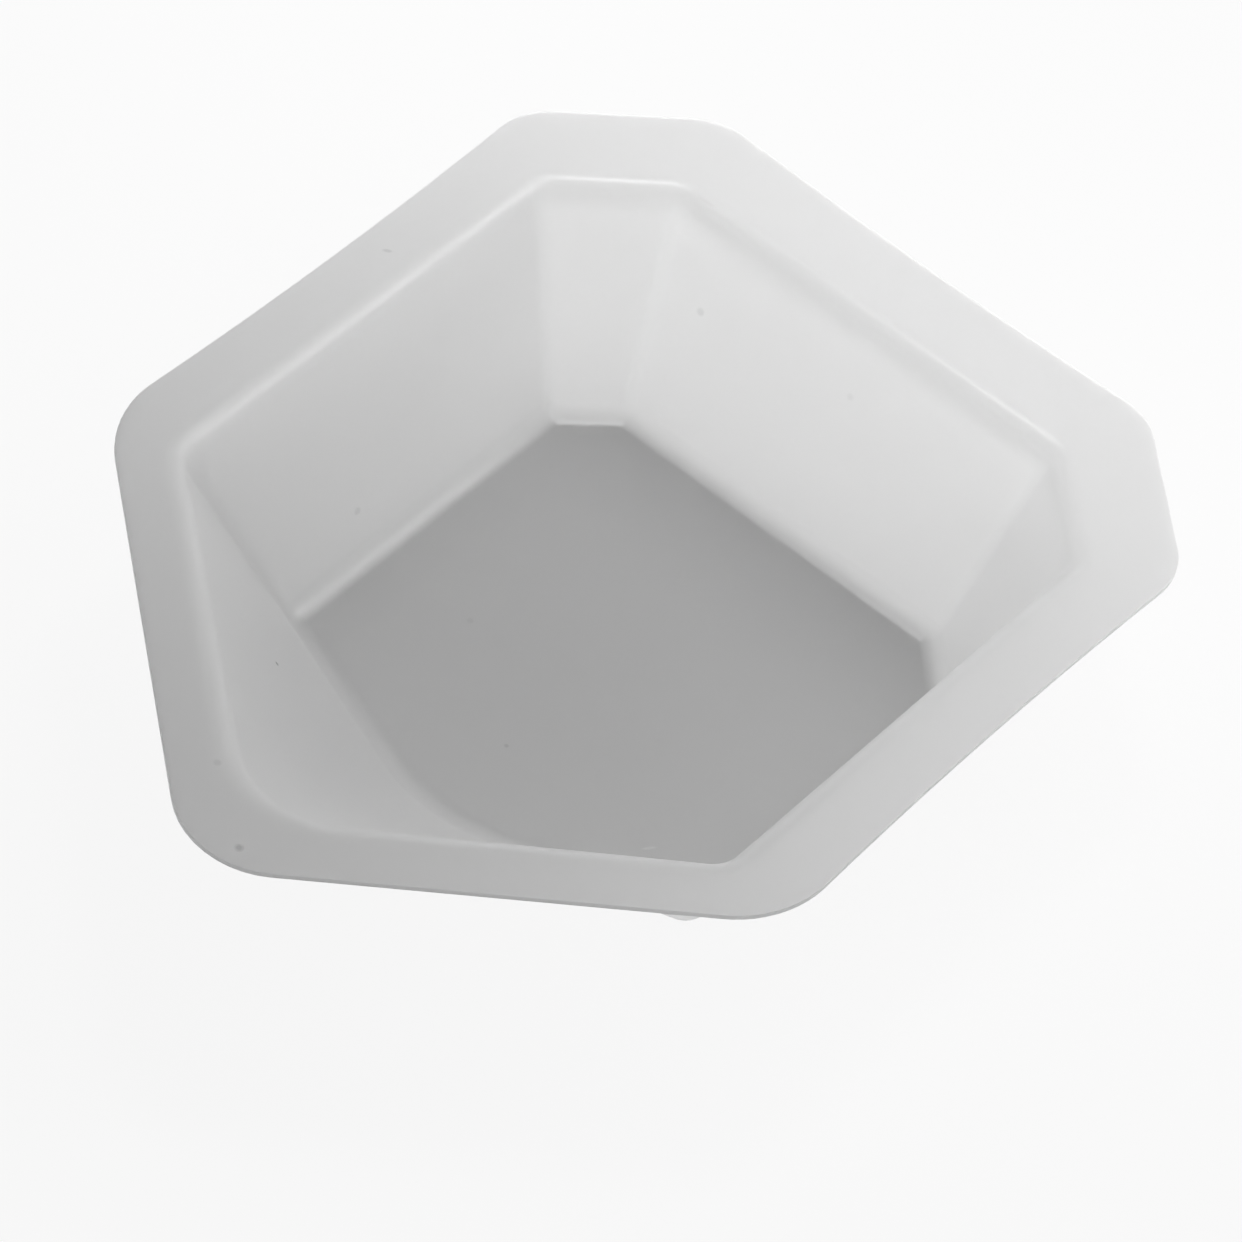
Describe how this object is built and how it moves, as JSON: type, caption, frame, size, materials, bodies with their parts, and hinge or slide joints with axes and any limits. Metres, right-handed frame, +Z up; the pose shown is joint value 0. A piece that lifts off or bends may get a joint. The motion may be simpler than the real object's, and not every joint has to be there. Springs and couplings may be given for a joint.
{
  "type": "weighing boat",
  "caption": "Thin white plastic weighing dish with sloping walls, a flat floor, a flat flange all round and a tapered end for pouring.",
  "frame": {"origin": "middle of the bounding box, on the surface that the floor stands on", "axes": "+Z up out of the mouth, -Y towards the pouring end, X across the dish"},
  "size_m": [0.0564, 0.071, 0.017],
  "materials": {
    "white_polystyrene": "satin, slightly translucent, unpainted formed sheet"
  },
  "bodies": {
    "root": {"boat": "white_polystyrene"}
  },
  "joints": []
}
